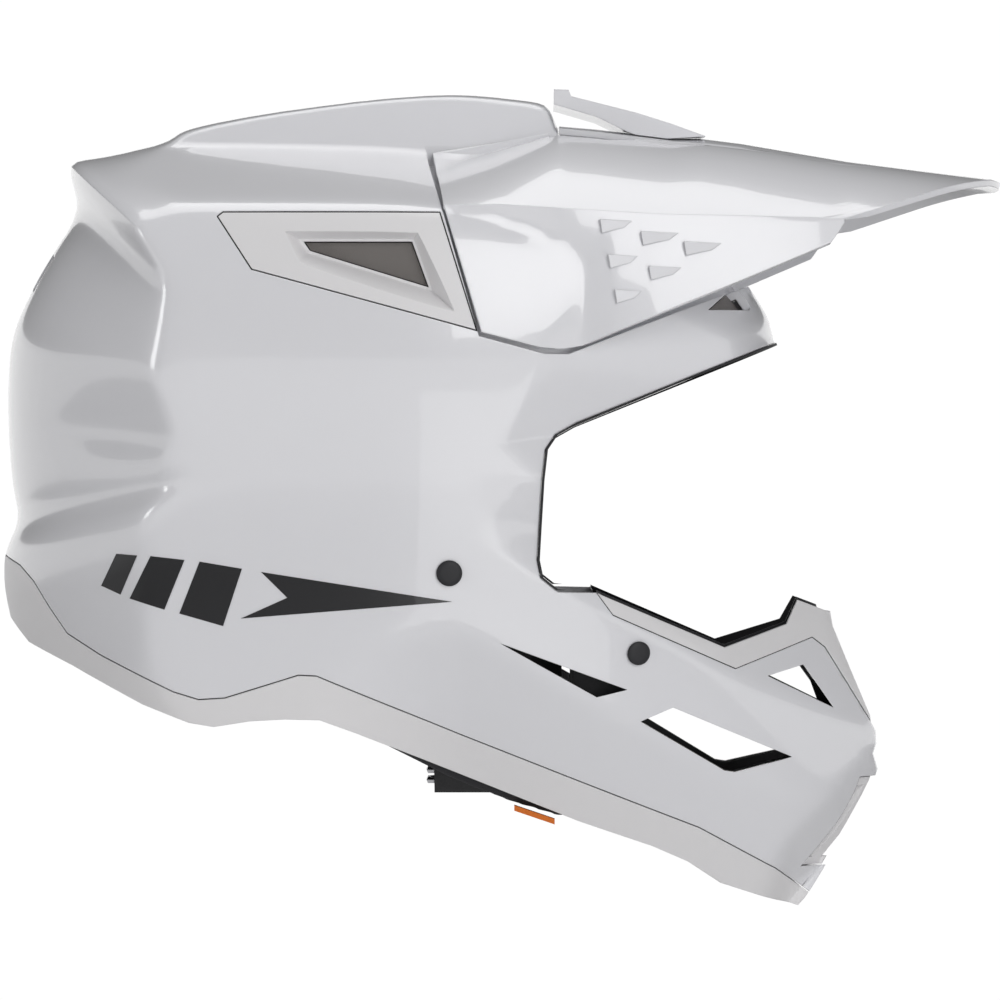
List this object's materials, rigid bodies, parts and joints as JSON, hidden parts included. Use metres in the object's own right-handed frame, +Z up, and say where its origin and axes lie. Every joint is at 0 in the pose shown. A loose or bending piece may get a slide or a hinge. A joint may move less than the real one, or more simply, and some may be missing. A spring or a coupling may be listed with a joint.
{
  "type": "motocross helmet",
  "caption": "Full-face off-road helmet with a long tilting visor, open eyeport, vented chin bar, padded liner and a chin strap with double D-rings.",
  "frame": {"origin": "crown seat: the inside top of the comfort liner, where the head touches", "axes": "+X forward, +Y to the wearer's left, +Z up as worn"},
  "size_m": [0.3777, 0.2434, 0.3085],
  "materials": {
    "gloss_white": "gloss clear coat",
    "satin_white": "satin",
    "black_rubber": "matte",
    "black_foam": "matte, closed cell",
    "liner_fabric": "brushed knit",
    "black_webbing": "woven",
    "vent_mesh": "fine mesh",
    "plated_steel": "satin",
    "orange_tab": "woven"
  },
  "bodies": {
    "helmet": {"outer_shell": "gloss_white", "base_trim": "satin_white", "chin_upper_trim": "satin_white", "side_vent_panel_left": "satin_white", "side_vent_panel_right": "satin_white", "mouth_grille": "satin_white", "nose_guard": "black_rubber", "eyeport_gasket": "black_rubber", "cheek_cap_left": "black_rubber", "cheek_cap_right": "black_rubber", "chin_cap_left": "black_rubber", "chin_cap_right": "black_rubber", "impact_liner": "black_foam", "chin_impact_liner": "black_foam", "mouth_filter": "black_foam", "crown_liner": "liner_fabric", "neck_roll": "liner_fabric", "cheek_pad_left": "liner_fabric", "cheek_pad_right": "liner_fabric", "side_vent_mesh_left": "vent_mesh", "side_vent_mesh_right": "vent_mesh", "brow_vent_mesh_left": "vent_mesh", "brow_vent_mesh_right": "vent_mesh", "exhaust_mesh_left": "vent_mesh", "exhaust_mesh_right": "vent_mesh", "strap_anchor_left": "plated_steel", "strap_anchor_right": "plated_steel"},
    "visor_unit": {"visor": "gloss_white", "visor_bridge": "gloss_white"},
    "chin_strap": {"chin_strap_left": "black_webbing", "chin_strap_right": "black_webbing", "d_ring_upper": "plated_steel", "d_ring_lower": "plated_steel", "strap_snap": "plated_steel"},
    "tab_left": {"release_tab_left": "orange_tab"},
    "tab_right": {"release_tab_right": "orange_tab"}
  },
  "joints": [
    {"name": "visor_tilt", "type": "hinge", "parent": "helmet", "child": "visor_unit", "pos_m": [0.018, 0, 0.038], "axis": [0, -1, 0], "range_deg": [0, 7]},
    {"name": "strap_swing", "type": "hinge", "parent": "helmet", "child": "chin_strap", "pos_m": [0.03, 0, -0.113], "axis": [0, -1, 0], "range_deg": [-25, 12]},
    {"name": "release_tab_left_pull", "type": "hinge", "parent": "helmet", "child": "tab_left", "pos_m": [0.0565, 0.071, -0.2213], "axis": [0.9468, 0, -0.3218], "range_deg": [0, 70]},
    {"name": "release_tab_right_pull", "type": "hinge", "parent": "helmet", "child": "tab_right", "pos_m": [0.0565, -0.071, -0.2213], "axis": [-0.9468, 0, 0.3218], "range_deg": [0, 70]}
  ]
}
